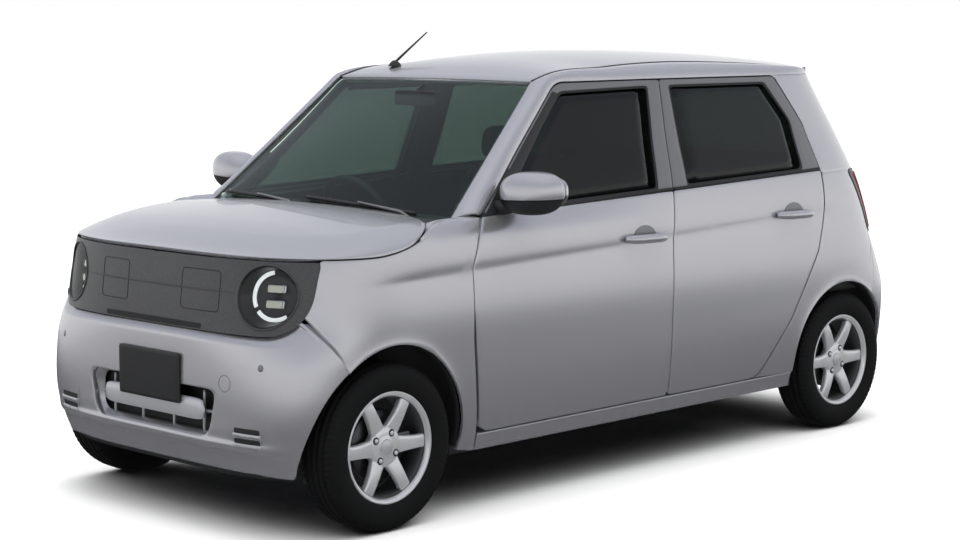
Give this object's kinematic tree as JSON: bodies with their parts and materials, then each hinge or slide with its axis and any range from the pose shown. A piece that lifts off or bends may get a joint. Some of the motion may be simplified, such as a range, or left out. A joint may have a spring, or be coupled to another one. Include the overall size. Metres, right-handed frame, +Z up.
{
  "type": "kei car",
  "caption": "Compact upright passenger car with opening doors, bonnet and tailgate, round headlamps in a closed nose panel, steered front wheels and a seated cabin.",
  "frame": {"origin": "under the middle of the car, on the floor", "axes": "+X towards the nose, +Y towards the car's left, +Z up"},
  "size_m": [3.395, 1.7886, 1.6173],
  "materials": {
    "body_paint": "silver metallic paint",
    "painted_plastic": "silver metallic paint on plastic",
    "tinted_glass": "dark tinted glass",
    "black_plastic": "grained black plastic",
    "silver_plastic": "silver coated plastic",
    "red_lens": "clear red lens",
    "tyre": "rubber",
    "alloy": "silver lacquered alloy",
    "seat_fabric": "woven cloth",
    "chassis_steel": "black coated steel",
    "cast_aluminium": "cast metal case"
  },
  "bodies": {
    "body": {"underbody": "chassis_steel", "body_side_left": "body_paint", "body_side_right": "body_paint", "roof_panel": "body_paint", "fender_left": "body_paint", "fender_right": "body_paint", "front_bumper": "painted_plastic", "nose_panel": "black_plastic", "headlamps": "black_plastic", "lower_grille": "silver_plastic", "front_plate": "black_plastic", "windscreen": "tinted_glass", "cowl_panel": "black_plastic", "wipers": "black_plastic", "antenna": "black_plastic", "rear_bumper": "painted_plastic", "tail_lamps": "red_lens", "front_suspension": "chassis_steel", "rear_axle": "chassis_steel", "drive_unit": "cast_aluminium", "battery_pack": "cast_aluminium", "dashboard": "black_plastic", "front_seats": "seat_fabric", "rear_seat": "seat_fabric"},
    "door_front_left": {"door_front_left": "body_paint", "glass_front_left": "tinted_glass", "mirror_left": "painted_plastic"},
    "door_front_right": {"door_front_right": "body_paint", "glass_front_right": "tinted_glass", "mirror_right": "painted_plastic"},
    "door_rear_left": {"door_rear_left": "body_paint", "glass_rear_left": "tinted_glass"},
    "door_rear_right": {"door_rear_right": "body_paint", "glass_rear_right": "tinted_glass"},
    "bonnet": {"bonnet": "body_paint"},
    "tailgate": {"tailgate": "body_paint", "tailgate_glass": "tinted_glass"},
    "knuckle_left": {"knuckle_left": "chassis_steel"},
    "knuckle_right": {"knuckle_right": "chassis_steel"},
    "wheel_front_left": {"tyre_front_left": "tyre", "wheel_front_left": "alloy"},
    "wheel_front_right": {"tyre_front_right": "tyre", "wheel_front_right": "alloy"},
    "wheel_rear_left": {"tyre_rear_left": "tyre", "wheel_rear_left": "alloy"},
    "wheel_rear_right": {"tyre_rear_right": "tyre", "wheel_rear_right": "alloy"},
    "steering_wheel": {"steering_wheel": "black_plastic"}
  },
  "joints": [
    {"name": "steer_left", "type": "hinge", "parent": "body", "child": "knuckle_left", "pos_m": [1.2675, 0.612, 0.278], "axis": [0, 0, 1], "range_deg": [-33, 33]},
    {"name": "spin_front_left", "type": "hinge", "parent": "knuckle_left", "child": "wheel_front_left", "pos_m": [1.2675, 0.6525, 0.278], "axis": [0, 1, 0], "continuous": true},
    {"name": "spin_rear_left", "type": "hinge", "parent": "body", "child": "wheel_rear_left", "pos_m": [-1.2525, 0.6525, 0.278], "axis": [0, 1, 0], "continuous": true},
    {"name": "door_front_left_hinge", "type": "hinge", "parent": "body", "child": "door_front_left", "pos_m": [0.894, 0.739, 0.7], "axis": [0, 0, -1], "range_deg": [0, 68]},
    {"name": "door_rear_left_hinge", "type": "hinge", "parent": "body", "child": "door_rear_left", "pos_m": [-0.15, 0.739, 0.7], "axis": [0, 0, -1], "range_deg": [0, 75]},
    {"name": "steer_right", "type": "hinge", "parent": "body", "child": "knuckle_right", "pos_m": [1.2675, -0.612, 0.278], "axis": [0, 0, 1], "range_deg": [-33, 33]},
    {"name": "spin_front_right", "type": "hinge", "parent": "knuckle_right", "child": "wheel_front_right", "pos_m": [1.2675, -0.6525, 0.278], "axis": [0, 1, 0], "continuous": true},
    {"name": "spin_rear_right", "type": "hinge", "parent": "body", "child": "wheel_rear_right", "pos_m": [-1.2525, -0.6525, 0.278], "axis": [0, 1, 0], "continuous": true},
    {"name": "door_front_right_hinge", "type": "hinge", "parent": "body", "child": "door_front_right", "pos_m": [0.894, -0.739, 0.7], "axis": [0, 0, 1], "range_deg": [0, 68]},
    {"name": "door_rear_right_hinge", "type": "hinge", "parent": "body", "child": "door_rear_right", "pos_m": [-0.15, -0.739, 0.7], "axis": [0, 0, 1], "range_deg": [0, 75]},
    {"name": "bonnet_hinge", "type": "hinge", "parent": "body", "child": "bonnet", "pos_m": [0.965, 0, 1.024], "axis": [0, -1, 0], "range_deg": [0, 50]},
    {"name": "tailgate_hinge", "type": "hinge", "parent": "body", "child": "tailgate", "pos_m": [-1.222, 0, 1.508], "axis": [0, 1, 0], "range_deg": [0, 78]},
    {"name": "steering_wheel_turn", "type": "hinge", "parent": "body", "child": "steering_wheel", "pos_m": [0.455, -0.32, 0.905], "axis": [-0.9136, 0, 0.4067], "range_deg": [-462, 462]}
  ],
  "couplings": [
    {"joint": "steer_right", "follows": "steer_left", "ratio": 1},
    {"joint": "steering_wheel_turn", "follows": "steer_left", "ratio": 14}
  ]
}
